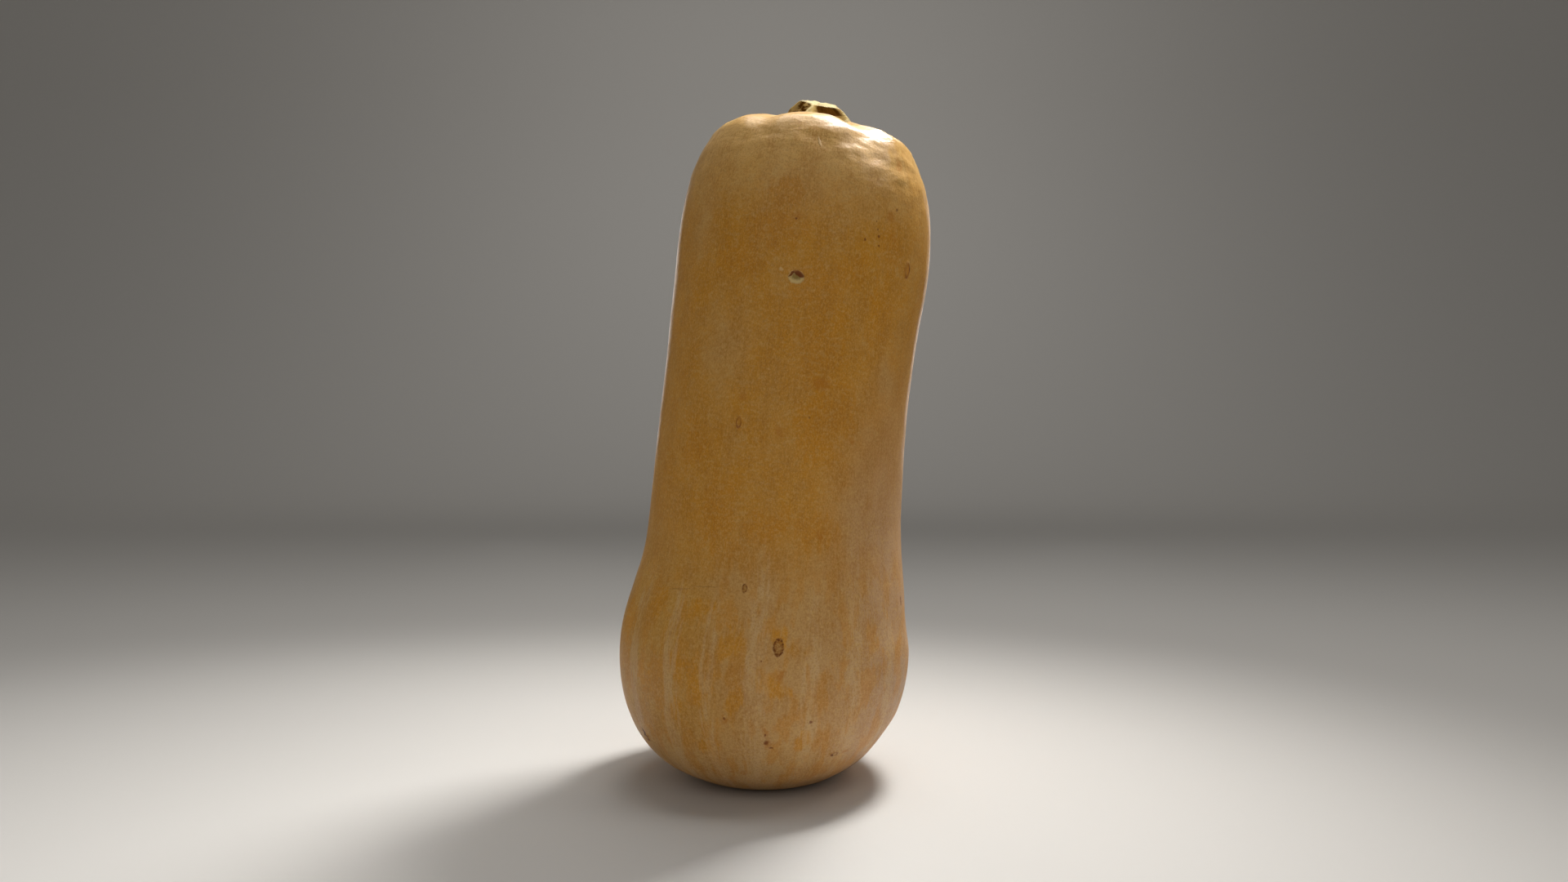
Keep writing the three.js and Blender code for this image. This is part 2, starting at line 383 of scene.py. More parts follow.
def skin_place(height):
    """Radius and run of the outline on the side of the fruit, at a height."""
    run = 0
    for start, end in zip(SKIN_OUTLINE, SKIN_OUTLINE[1:]):
        if start.x > SIDE[0][0] and start.y <= height < end.y:
            share = (height - start.y) / (end.y - start.y)
            return start.lerp(end, share).x, run + share * (end - start).length
        run += (end - start).length
    raise ValueError(f"no side at height {height}")


# Broad soft patches: angle, height, width and length, as for the marks.
OCHRE_PATCHES = [
    (-10, 206, 18, 13), (-13, 195, 27, 18), (-28, 184, 24, 18), (8, 177, 32, 24), (22, 184, 18, 14),
    (13, 157, 28, 44), (17, 132, 33, 34), (39, 171, 17, 34), (41, 194, 14, 22), (-40, 121, 24, 24),
    (-24, 97, 26, 40), (19, 94, 20, 20), (-3, 95, 25, 16),
]
BULB_OCHRE_PATCHES = [
    (-32, 47, 13, 14), (-34, 33, 10, 10), (-12, 56, 11, 16), (-11, 40, 10, 14), (-26, 66, 7, 10),
    (5.5, 61, 7, 9), (5, 43, 12, 10), (-49, 44, 12, 18), (-20, 24, 12, 9),
    (-47, 66, 12, 14), (-52, 26, 10, 12), (-66, 56, 14, 16), (-22, 44, 8, 22), (14, 27, 8, 8),
    (130, 40, 14, 16), (170, 58, 16, 14), (-160, 30, 12, 14), (-110, 44, 16, 18), (100, 60, 10, 14),
]
PALE_PATCHES = [
    (-30, 154, 26, 34), (-48, 196, 12, 34), (34, 104, 13, 34), (48, 88, 20, 34), (-10, 75, 30, 12),
    (25, 74, 40, 16), (46, 150, 12, 20),
]
# Pale meridians: angle, half width in degrees, and the heights where they fade from and to.
PALE_MERIDIANS = [
    (-3, 6.4, 46, 106), (-36, 5.4, 50, 86), (17.5, 5, 50, 86), (35, 6, 54, 110), (-58, 5, 50, 84),
    (55, 5.4, 50, 84), (-20, 4, 50, 80), (120, 5.4, 50, 88), (160, 5.6, 50, 104), (-150, 5.4, 50, 90),
    (-100, 4, 60, 100), (85, 3.6, 50, 80),
]
MERIDIAN_TWIST = 0.06  # degrees for each millimetre up the neck
MERIDIAN_TWIST_START = 80
# How a meridian wanders: size across and up the fruit, degrees, and place in the noise.
MERIDIAN_WANDER = [(7, 16, 1.8, 61)]
# How far the edges of patches wander, and over what size.
PATCH_WANDERS = [(5, 11), (1.6, 3)]
PATCH_FULL, PATCH_FADED = 0.1, 1.25  # shares of a patch's half size
# The edges wander by vector noise, whose places are drawn at random from this seed.
PATCH_SEED = 7
noise.seed_set(PATCH_SEED)


def patch_share(patches, point, angle):
    """How strongly soft patches colour a place. Their edges wander."""
    drift = Vector()
    for far, size in PATCH_WANDERS:
        drift += far * noise.noise_vector(point / size)
    moved = point + Vector((0, 0, drift.z))
    reach = min(math.hypot(*mark_place(patch, moved, angle + drift.x)) for patch in patches)
    return 1 - smooth_rise(reach, PATCH_FULL, PATCH_FADED)


def streak_share(point, angle):
    """How strongly a pale meridian colours a place."""
    turned = angle + MERIDIAN_TWIST * max(point.z - MERIDIAN_TWIST_START, 0)
    turned += layered_noise(point, MERIDIAN_WANDER)
    return max(
        (1 - smooth_rise(abs(turn_between(turned, at)), 0, half))
        * (1 - smooth_rise(point.z, fade_start, fade_end))
        for at, half, fade_start, fade_end in PALE_MERIDIANS
    )


SKIN_SHARES = {
    "neck_ochre": lambda point, angle: patch_share(OCHRE_PATCHES, point, angle),
    "bulb_ochre": lambda point, angle: patch_share(BULB_OCHRE_PATCHES, point, angle),
    "pale": lambda point, angle: patch_share(PALE_PATCHES, point, angle),
    "streaks": streak_share,
}


def fruit(material):
    bm = turned_body(SKIN_OUTLINE, SKIN_SEGMENTS)
    for at, height, width, length in [*SCABS, GOUGE]:
        radius, _ = skin_place(height)
        reach = MARK_FINE_SHARE * max(width, length) + MARK_FINE_MARGIN
        refine(bm, round_axis(radius, height, at), reach, MARK_CUTS)

    def grown_point(vert, radius, angle):
        relief = skin_relief(radius, vert.co.z, angle, vert.co)
        return bend(vert.co + vert.normal * relief)

    return finished_piece(
        "fruit_skin", bm, grown_point, material, "squash_fruit", SKIN_SHARES)


# ---- the stem stub ----

STEM_FOOT = [(0, 235.4), (10.6, 235.6), (11.6, 236.6)]
STEM_FLANK = [(12.2, 238.4), (13.2, 241), (13.3, 244.2), (12.1, 247.2), (10.2, 249.4), (8.2, 250.9)]
STEM_CUT_END = [(7.5, 251.2), (6.6, 251.2), (4.5, 251), (2, 250.8), (1, 250.2), (0, 250)]
STEM_RIBS = [(-90, 0.21), (-20, 0.27), (58, 0.3), (132, 0.27), (-160, 0.25)]  # angle, reach
STEM_CORE_SHARE = 0.73
# The ribs are broad at the root and sharpen towards the cut.
RIB_WIDTH_AT_ROOT, RIB_WIDTH_AT_CUT = 34, 10
RIBS_NARROW_START, RIBS_NARROW_END = 240, 248.5
# Where the painted shade in the flutes starts above the root and where it is full, and one flute on the
# left that gets less of it.
FLUTE_SHADE_START, FLUTE_SHADE_FULL = 243.6, 248
LIGHTLY_SHADED_FLUTE, LIGHTLY_SHADED_FLUTE_WIDTH, LIGHTLY_SHADED_FLUTE_SHARE = -55, 28, 0.4
STEM_SHIFT_RIGHT = 0.9
FLUTES_START_HEIGHT, FLUTES_FULL_HEIGHT = 237, 241
CUT_SLOPE_START, CUT_HEIGHT = 242, 251
CUT_SLOPE_FRONT = math.tan(math.radians(22))
CUT_SLOPE_RIGHT = math.tan(math.radians(4))
STEM_STEP = 0.4
STEM_SEGMENTS = 180
# Relief of the bark: size across and up the stem, height, and place in the noise.
BARK_RELIEFS = [(1.6, 12, 0.12, 5), (3.2, 3.2, 0.3, 9)]
BARK_ENDS_RADIUS, BARK_FULL_RADIUS = 3, 7


STEM_OUTLINE = even_points(
    [*map(Vector, STEM_FOOT), *smooth_outline(STEM_FLANK), *map(Vector, STEM_CUT_END)], STEM_STEP)
# Where the bark ends and the cut begins, along the outline. The cut is its last stretch.
CUT_END_LENGTH = 9.2
STEM_CUT_RUN = STEM_STEP * len(STEM_OUTLINE) - CUT_END_LENGTH


def rib_share(angle, height):
    """How far out the stem reaches at an angle, as a share of its outline."""
    narrowing = smooth_rise(height, RIBS_NARROW_START, RIBS_NARROW_END)
    width = RIB_WIDTH_AT_ROOT + (RIB_WIDTH_AT_CUT - RIB_WIDTH_AT_ROOT) * narrowing
    ribs = sum(reach * bell(turn_between(angle, at), width) for at, reach in STEM_RIBS)
    return STEM_CORE_SHARE + ribs


def flute_shade_share(point, angle):
    """How far into a flute a place is, as a share of painted shade. The painted shade runs out above
    the root, and is lighter in one flute.
    """
    depth = (1 - rib_share(angle, point.z)) / (1 - STEM_CORE_SHARE)
    depth *= 1 - LIGHTLY_SHADED_FLUTE_SHARE * bell(turn_between(angle, LIGHTLY_SHADED_FLUTE), LIGHTLY_SHADED_FLUTE_WIDTH)
    return min(max(depth, 0), 1) * smooth_rise(point.z, FLUTE_SHADE_START, FLUTE_SHADE_FULL)


def stem(material):
    bm = turned_body(STEM_OUTLINE, STEM_SEGMENTS)

    def grown_point(vert, radius, angle):
        point = vert.co
        fluted = smooth_rise(point.z, FLUTES_START_HEIGHT, FLUTES_FULL_HEIGHT)
        free = fluted * smooth_rise(radius, BARK_ENDS_RADIUS, BARK_FULL_RADIUS)
        point = point + vert.normal * layered_noise(point, BARK_RELIEFS) * free
        share = 1 + fluted * (rib_share(angle, point.z) - 1)
        x, y = point.x * share, point.y * share
        cut_share = max(0, point.z - CUT_SLOPE_START) / (CUT_HEIGHT - CUT_SLOPE_START)
        slope = y * CUT_SLOPE_FRONT - x * CUT_SLOPE_RIGHT
        return bend(Vector((x + fluted * STEM_SHIFT_RIGHT, y, point.z + cut_share * slope)))

    shares = {"flute_shade": flute_shade_share}
    return finished_piece("stem_bark", bm, grown_point, material, "stem_stub", shares)


# ---- materials ----

NOISE_ROUGHNESS = 0.55
NOISE_MIDDLE = (0.5, 0.5, 0.5)
TREMOR_DETAIL = 3
# A frayed share shows where it and its pattern add up to this, and never outside its soft edge,
# which ends at the second value.
FRAY_LEVEL = 0.5
SOFT_EDGE_END = 0.4


def colour(hex_code):
    """An sRGB hex colour as linear red, green, blue and alpha."""
    parts = [int(hex_code[i:i + 2], 16) / 255 for i in (1, 3, 5)]
    return (*(p / 12.92 if p <= 0.04045 else ((p + 0.055) / 1.055) ** 2.4 for p in parts), 1)


def new_material(name):
    material = bpy.data.materials.new(name)
    material.use_nodes = True
    return material, material.node_tree


def add_node(tree, kind, inputs=None, **settings):
    """Adds a node. An input that is another node's socket is linked, and any other is set."""
    node = tree.nodes.new(kind)
    for name, value in settings.items():
        setattr(node, name, value)
    for name, value in (inputs or {}).items():
        if isinstance(value, bpy.types.NodeSocket):
            tree.links.new(value, node.inputs[name])
        else:
            node.inputs[name].default_value = value
    return node


def share_between(tree, value, start, full):
    """A share that rises smoothly from 0 to 1 as the value goes from start to full."""
    return add_node(
        tree, "ShaderNodeMapRange", {"Value": value, "From Min": start, "From Max": full},
        interpolation_type="SMOOTHSTEP",
    ).outputs[0]


def combined(tree, operation, *values):
    """Joins several values into one with a sum, a product, a minimum or a maximum."""
    result = values[0]
    for value in values[1:]:
        result = add_node(tree, "ShaderNodeMath", {0: result, 1: value}, operation=operation).outputs[0]
    return result


def blotches(tree, growth, across, up, seed, start, full, detail):
    """A share that comes and goes in blotches of a size across and up the growth, in millimetres."""
    stretched = add_node(tree, "ShaderNodeMapping", {
        "Vector": growth, "Location": (0, 0, seed), "Scale": (1 / across, 1 / across, 1 / up),
    })
    pattern = add_node(tree, "ShaderNodeTexNoise", {
        "Vector": stretched.outputs[0], "Scale": 1, "Detail": detail,
        "Roughness": NOISE_ROUGHNESS,
    })
    return share_between(tree, pattern.outputs["Fac"], start, full)


def frayed(tree, share, pattern, spread):
    """Breaks up the soft edge of a share with a pattern."""
    broken = combined(tree, "ADD", share, combined(tree, "MULTIPLY", pattern, spread))
    return combined(
        tree, "MULTIPLY", share_between(tree, broken, FRAY_LEVEL, FRAY_LEVEL + spread),
        share_between(tree, share, 0, SOFT_EDGE_END))


def dots(tree, place, spacing, faded, full):
    """Scattered round dots, and a colour for each of them. The radii where a dot has faded and
    where it is full are in millimetres, as the spacing is."""
    cells = add_node(tree, "ShaderNodeTexVoronoi", {"Vector": place, "Scale": 1 / spacing}).outputs
    return share_between(tree, cells["Distance"], faded / spacing, full / spacing), cells["Color"]


def ring(tree, reach, outside, outer, inner, inside):
    """A share that is full from the inner to the outer reach of a mark."""
    return combined(
        tree, "MULTIPLY", share_between(tree, reach, outside, outer),
        share_between(tree, reach, inside, inner))


def painted(tree, shares, ground, coats):
    """Lays coats over a ground colour. A coat has its colour, its thickness and the shares that
    it shows in."""
    paint = colour(ground)
    for tone, thickness, *names in coats:
        cover = combined(tree, "MULTIPLY", *(shares[name] for name in names), thickness)
        paint = add_node(
            tree, "ShaderNodeMix", {0: cover, 6: paint, 7: colour(tone)}, data_type="RGBA",
        ).outputs[2]
    return paint


def raised(tree, shares, bumps, height):
    """Fine relief. A bump has its height, as a share of the height given here in millimetres, and
    the shares that it shows in."""
    heights = [
        combined(tree, "MULTIPLY", *(shares[name] for name in names), size) for size, *names in bumps
    ]
    return add_node(tree, "ShaderNodeBump", {
        "Strength": 1, "Distance": height * MM, "Height": combined(tree, "ADD", *heights),
    }).outputs[0]


def surfaced(tree, paint, roughness, normal):
    shader = tree.nodes["Principled BSDF"]
    for socket, name in ((paint, "Base Color"), (roughness, "Roughness"), (normal, "Normal")):
        tree.links.new(socket, shader.inputs[name])
    return shader


def shaken(tree, place, growth, size, by):
    """Moves a place by noise of a size, so that what is drawn there gets a ragged edge."""
    tremor = add_node(tree, "ShaderNodeTexNoise", {
        "Vector": growth, "Scale": 1 / size, "Detail": TREMOR_DETAIL,
    })
    centred = add_node(
        tree, "ShaderNodeVectorMath", {0: tremor.outputs["Color"], 1: NOISE_MIDDLE},
        operation="SUBTRACT",
    )
    return add_node(
        tree, "ShaderNodeVectorMath", {0: centred.outputs[0], 1: (by, by, by), 2: place},
        operation="MULTIPLY_ADD",
    ).outputs[0]


def mark_reach(tree, unrolled, marks):
    """Distance to the nearest mark, as a share of its half size."""
    reaches = []
    for at, height, width, length, *turn in marks:
        local = add_node(tree, "ShaderNodeMapping", {
            "Vector": unrolled,
            "Location": (math.radians(at) * GROWTH_RADIUS, skin_place(height)[1], 0),
            "Rotation": (0, 0, math.radians(sum(turn))),
            "Scale": (width / 2, length / 2, 1),
        }, vector_type="TEXTURE")
        reaches.append(add_node(
            tree, "ShaderNodeVectorMath", {0: local.outputs[0]}, operation="LENGTH",
        ).outputs["Value"])
    return combined(tree, "MINIMUM", *reaches)


# ---- the rind ----

# What is only colour on the rind: angle, height, width, length, and turn in degrees.
ORANGE_FLECKS = [
    (-1.3, 126.9, 4, 4), (31.3, 126.3, 2.6, 2.2), (13.7, 144.6, 9, 5), (-18, 137.5, 4, 4),
    (19, 93.4, 3, 4.4), (-13.7, 32.7, 3, 4.6), (-9.2, 12.4, 4.6, 1.6), (-14.4, 12.9, 2.6, 1.6),
    (24.8, 8.1, 4, 1.6), (1.2, 28.6, 2.2, 4.6), (2, 24.4, 3.4, 4.4), (46, 223, 5, 8),
    (-45.5, 73.6, 1.8, 2.6), (6.3, 48, 2.6, 5, -30), (50.7, 187.9, 5, 6.4), (38, 203, 4, 5),
    (40, 196, 3.4, 4), (-4, 199, 4, 3), (63, 12, 4, 2.4), (37, 18.4, 4, 2), (140, 60, 5, 4),
    (-150, 150, 6, 4), (-95, 120, 4, 6),
]
DARK_SPECKS = [
    (31.3, 197.9, 0.9, 0.9), (32, 195.7, 1.2, 1), (25.3, 193.9, 0.9, 1.2), (32.3, 192.7, 1, 0.9),
    (30.5, 200.5, 0.7, 0.8), (41.5, 205.8, 1.2, 1.4), (-4.3, 197.9, 1.1, 0.8),
    (18.2, 31.4, 1.2, 1.2), (-13.7, 33.2, 1.2, 1.2), (1.6, 25, 2, 2.6), (3.4, 23, 2.2, 1, -20),
    (1.2, 27.6, 0.9, 1.4), (-0.5, 52.5, 0.7, 0.7), (69.6, 71.6, 1.6, 3.6), (120, 190, 1.2, 1.2),
]
SCRATCHES = [
    (-38, 71, 15, 0.5, 11), (-26, 73.6, 14, 0.55, 7), (-55.5, 73.4, 4, 0.5, -38),
    (16, 13.4, 9, 0.4, -8), (100, 130, 0.6, 24, 12), (-130, 190, 18, 0.5, 30),
]
DARK_CUTS = [
    (-58.6, 22, 5, 1.8, -50), (-57.2, 20, 2.4, 0.9, -12), (52.4, 188.4, 1, 2, 20), (30, 18, 1.4, 1),
]
# A small ridge on the shoulder, coloured pale as a painted highlight, and a pale scuff lower down.
PALE_NICKS_AND_GLINT = [(2.8, 225.4, 1.2, 4.6, 20), (-8.3, 180.6, 2, 1.3)]
# Inside the gouge: painted shade in its depths, and a painted shadow under its upper wall over the
# brown cut edge.
GOUGE_DEPTHS_AND_SHADE = (GOUGE[0] - 0.2, GOUGE[1] + 0.3, 4.4, 2.8)
GOUGE_SHADOW_AND_EDGE = [
    (GOUGE[0] + 1, GOUGE[1] + 1.2, 4.6, 1.7, -22), (GOUGE[0] - 2.1, GOUGE[1] + 1, 3, 0.8, 50),
]
# The marks of a kind, and the shares of their half size where they have faded and where they are full.
RIND_MARKS = {
    "specks": (DARK_SPECKS, 1.1, 0.4),
    "scratches": (SCRATCHES, 1.1, 0.3),
    "cuts": (DARK_CUTS, 1.1, 0.4),
    "nicks_and_glint": (PALE_NICKS_AND_GLINT, 1.2, 0.4),
    "gouge_mouth": ([GOUGE], 1.2, 0.85),
    "gouge_depths_and_shade": ([GOUGE_DEPTHS_AND_SHADE], 1.2, 0.3),
    "gouge_shadow_and_edge": (GOUGE_SHADOW_AND_EDGE, 1.2, 0.7),
}
FLECKS_FADED, FLECKS_FULL = 1.2, 0.3
SCABS_FADED, SCABS_FULL = 1.05, 0.85
SCAB_RIM = (1.08, 0.9, 0.8, 0.5)
SCAR_RIM = (1.1, 0.85, 0.8, 0.45)
# Noise that makes the edges of marks ragged: its size, and how far it moves them.
MARK_TREMOR = (1.1, 0.9)
FLECK_TREMOR = (1.7, 4)

# Patterns: size across and up the growth in millimetres, place in the noise, where in the noise
# the share starts and is full, and detail. The dust stands for the bloom of the wax and the grit
# for corky specks. Both are finer on a real rind, and are drawn as coarse as they need to show.
RIND_PATTERNS = {
    "clouds": (8, 11, 17, 0.38, 0.64, 5),
    "fibres": (0.7, 9, 41, 0.38, 0.64, 4),
    "feathers": (1.7, 6, 83, 0.34, 0.66, 6),
    "plumes": (1.4, 8, 23, 0.36, 0.64, 8),
    "ochre_blotches": (5, 13, 29, 0.47, 0.58, 8),
    "broad_ochre": (26, 34, 3, 0.42, 0.6, 3),
    "patchy": (9, 12, 71, 0.36, 0.62, 3),
    "wisps": (2.6, 1.3, 53, 0.5, 0.64, 7),
    "grain": (0.8, 1.2, 59, 0.4, 0.64, 5),
    "dust": (0.5, 0.8, 67, 0.52, 0.6, 2),
    "grit": (0.6, 0.7, 73, 0.52, 0.6, 2),
    "crust": (0.7, 0.7, 91, 0.42, 0.58, 3),
    "leather": (5, 2.6, 97, 0.2, 0.8, 2),
}
# Zones of the fruit: the heights or angles where each starts and where it is full.
HEIGHT_ZONES = {
    "on_base": (35, 12), "on_bulb": (105, 60), "under_shoulder": (175, 80), "on_shoulder": (192, 232),
}
ANGLE_ZONES = {"right_side": (8, 58), "left_side": (2, -36)}
# Soft shares, the pattern that frays their edges, and how widely.
FRAYED_SHARES = {
    "neck_ochre": ("feathers", 0.7), "bulb_ochre": ("feathers", 0.8), "streaks": ("plumes", 1.2),
}
# Scattered pinholes, in a few of the cells: spacing, and the radii where they have faded and where
# they are full.
PINHOLES = (11, 0.495, 0.22)
PINHOLES_CHOSEN_FROM, PINHOLES_CHOSEN_FULL = 0.65, 0.7
# Pale breathing pores, about half a millimetre across, one in each cell and given in the same way.
PORES = (1.7, 0.442, 0.17)
# The blossom button's colour reaches this far past its rim, and is full to here.
BUTTON_FADED, BUTTON_FULL = 3.4, 0.6

RIND_GROUND = "#cb8c20"
RIND_COATS = [
    # Ripe ochre, tan in clouds, paler on the shoulder, partly as painted light from above, and pinker
    # on the bulb.
    ("#cb984a", 0.45, "clouds"),
    ("#deb26a", 0.92, "on_shoulder"),
    ("#cb9a52", 0.4, "clouds", "on_shoulder"),
    ("#c69b60", 0.88, "on_bulb"),
    ("#cc9218", 0.6, "on_bulb", "left_side"),
    ("#cda874", 0.75, "on_base"),
    ("#cba264", 0.5, "pale"),
    ("#c09a76", 0.85, "right_side", "under_shoulder"),
    # Ochre patches, and the pale meridians of the bulb.
    ("#ca8610", 0.65, "neck_ochre"),
    ("#c98510", 0.55, "ochre_blotches", "on_bulb"),
    ("#cf8c08", 0.8, "bulb_ochre"),
    ("#d2b080", 0.52, "streaks"),
    # Fine mottling.
    ("#ae741c", 0.34, "fibres", "patchy"),
    ("#cfa868", 0.3, "wisps"),
    ("#b0720c", 0.4, "grain", "patchy"),
    ("#dfb76c", 0.27, "dust"),
    ("#a4690c", 0.3, "grit"),
    ("#e0b678", 0.08, "pores"),
    # Marks. The darkest browns hold no blue, because the sheen of the wax greys them.
    ("#b87004", 0.55, "flecks"),
    ("#94642c", 0.45, "scratches"),
    ("#4c1c00", 0.95, "cuts"),
    ("#e0c088", 0.5, "nicks_and_glint"),
    ("#7c4c18", 0.6, "pinholes"),
    ("#804000", 0.85, "specks"),
    ("#b07c2c", 0.35, "scab_skin"),
    ("#945400", 0.5, "scab_skin", "crust"),
    ("#5e2600", 0.85, "scab_rim", "crust"),
    ("#884800", 0.45, "scab_rim"),
    ("#904a00", 0.85, "scar_rim", "feathers"),
    # Bare flesh in the gouge, cream and made paler as painted light on its floor; greenish in its
    # depths, darkened there as painted shade; and under its upper wall a painted shadow over a thin
    # brown cut edge.
    ("#ecd08c", 0.9, "gouge_mouth"),
    ("#8a6c14", 0.75, "gouge_depths_and_shade"),
    ("#5c4008", 0.5, "gouge_depths_and_shade", "fibres"),
    ("#7a3400", 0.92, "gouge_shadow_and_edge"),
    ("#7c6242", 0.85, "button"),
]
RIND_BUMP_HEIGHT = 0.08
RIND_BUMPS = [
    (0.07, "fibres"), (0.7, "leather"), (-0.12, "grain"), (0.5, "leather", "on_shoulder"),
    (-0.6, "scratches"), (-2.5, "cuts"), (1.5, "nicks_and_glint"), (1.6, "scab_skin", "crust"),
    (-1.5, "pinholes"),
]
WAX_ROUGHNESS = (0.4, 0.5)
SHOULDER_POLISH = 0.12
BARE_ROUGHNESS = 0.8
WAX_IOR = 1.42


def rind():
    """Ripe butternut rind: hard, with a thin bloom of wax, so it has a satin sheen that sharpens
    towards the edges. Ochre over tan, paler and pinker on the seed bulb, with fine fibres that
    run from the stem to the blossom end."""
    material, tree = new_material("waxy_squash_rind")
    growth = add_node(tree, "ShaderNodeAttribute", attribute_name="growth").outputs["Vector"]
    part = add_node(tree, "ShaderNodeSeparateXYZ", {0: growth}).outputs
    front = combined(tree, "MULTIPLY", part["Y"], -1)
    angle = combined(tree, "ARCTAN2", part["X"], front)
    run = part["Z"]
    flat = add_node(tree, "ShaderNodeCombineXYZ", {
        "X": combined(tree, "MULTIPLY", angle, GROWTH_RADIUS), "Y": run,
    }).outputs[0]
    unrolled = shaken(tree, flat, growth, *MARK_TREMOR)
    loosely_unrolled = shaken(tree, flat, growth, *FLECK_TREMOR)

    shares = {
        name: add_node(tree, "ShaderNodeAttribute", attribute_name=name).outputs["Fac"]
        for name in SKIN_SHARES
    }
    for name, sizes in RIND_PATTERNS.items():
        shares[name] = blotches(tree, growth, *sizes)
    for name, (start, full) in HEIGHT_ZONES.items():
        shares[name] = share_between(tree, run, skin_place(start)[1], skin_place(full)[1])
    for name, (start, full) in ANGLE_ZONES.items():
        shares[name] = share_between(tree, angle, math.radians(start), math.radians(full))
    behind = share_between(tree, part["Y"], 0, GROWTH_RADIUS / 2)
    ochre_behind = combined(tree, "MULTIPLY", behind, shares["broad_ochre"])
    shares["neck_ochre"] = combined(tree, "MAXIMUM", shares["neck_ochre"], ochre_behind)
    for name, (pattern, spread) in FRAYED_SHARES.items():
        shares[name] = frayed(tree, shares[name], shares[pattern], spread)

    for name, (marks, faded, full) in RIND_MARKS.items():
        shares[name] = share_between(tree, mark_reach(tree, unrolled, marks), faded, full)
    flecks = mark_reach(tree, loosely_unrolled, ORANGE_FLECKS)
    shares["flecks"] = share_between(tree, flecks, FLECKS_FADED, FLECKS_FULL)
    scabs = mark_reach(tree, unrolled, CRUSTED_SCABS)
    shares["scab_skin"] = share_between(tree, scabs, SCABS_FADED, SCABS_FULL)
    shares["scab_rim"] = ring(tree, scabs, *SCAB_RIM)
    shares["scar_rim"] = ring(tree, mark_reach(tree, unrolled, HEALED_SCARS), *SCAR_RIM)
    pinholes, tints = dots(tree, unrolled, *PINHOLES)
    tint = add_node(tree, "ShaderNodeSeparateXYZ", {0: tints}).outputs["X"]
    chosen = share_between(tree, tint, PINHOLES_CHOSEN_FROM, PINHOLES_CHOSEN_FULL)
    shares["pinholes"] = combined(tree, "MULTIPLY", pinholes, chosen)
    shares["pores"], _ = dots(tree, growth, *PORES)
    shares["button"] = share_between(
        tree, run, BLOSSOM_BUTTON_RADIUS + BUTTON_FADED, BLOSSOM_BUTTON_RADIUS + BUTTON_FULL)

    glossiest, dullest = WAX_ROUGHNESS
    wax = add_node(tree, "ShaderNodeMapRange", {
        "Value": shares["clouds"], "To Min": glossiest, "To Max": dullest,
    }).outputs[0]
    polish = combined(tree, "MULTIPLY", shares["on_shoulder"], SHOULDER_POLISH)
    bare = combined(tree, "MAXIMUM", shares["scab_skin"], shares["gouge_mouth"], shares["button"])
    roughness = combined(
        tree, "MAXIMUM", combined(tree, "SUBTRACT", wax, polish),
        combined(tree, "MULTIPLY", bare, BARE_ROUGHNESS))
    shader = surfaced(
        tree, painted(tree, shares, RIND_GROUND, RIND_COATS), roughness,
        raised(tree, shares, RIND_BUMPS, RIND_BUMP_HEIGHT))
    shader.inputs["IOR"].default_value = WAX_IOR
    return material


# ---- the stem's bark ----

# As for the rind. The growth circle is four times the stem's own, so sizes across are four times
# as large.
STEM_PATTERNS = {
    "fibres": (5, 9, 5, 0.36, 0.64, 3),
    "stains": (14, 2.4, 19, 0.42, 0.62, 5),
    "grit": (2.4, 0.6, 37, 0.35, 0.65, 3),
}
# How shady a place is where each tone starts and where it is full. Painted shade deepens the flutes'
# brown, and a painted highlight lightens the crests.
STEM_SHADES = {"sunken_shade": (0.15, 0.6), "hollow": (0.5, 0.95), "crest_and_highlight": (0.25, 0)}
STAINS_IN_SHADE = 0.4
# Past where the bark ends, along the outline: the cut's edge, which grit makes ragged, and the pith.
CUT_EDGE_START, CUT_EDGE_FULL, CUT_EDGE_RAGGED = 0.1, 0.5, 0.5
PITH_START, PITH_FULL = 5.4, 7
STEM_GROUND = "#b3985c"
STEM_COATS = [
    ("#8f7847", 0.5, "stains"),
    # Straw on the crests, lightened as a painted highlight; brown bark in the flutes, darkened with
    # painted shade, darkest in the hollows.
    ("#dccb9e", 0.75, "crest_and_highlight"),
    ("#7d6238", 0.35, "fibres"),
    ("#86683a", 0.6, "sunken_shade"),
    ("#3e2000", 0.95, "hollow"),
    ("#d6c498", 1, "cut"),
    ("#b79c68", 0.4, "cut", "grit"),
    ("#a58a58", 0.6, "cut", "pith"),
]
STEM_BUMP_HEIGHT = 0.1
STEM_BUMPS = [(1, "fibres"), (0.5, "grit")]
BARK_ROUGHNESS = (0.7, 0.9)


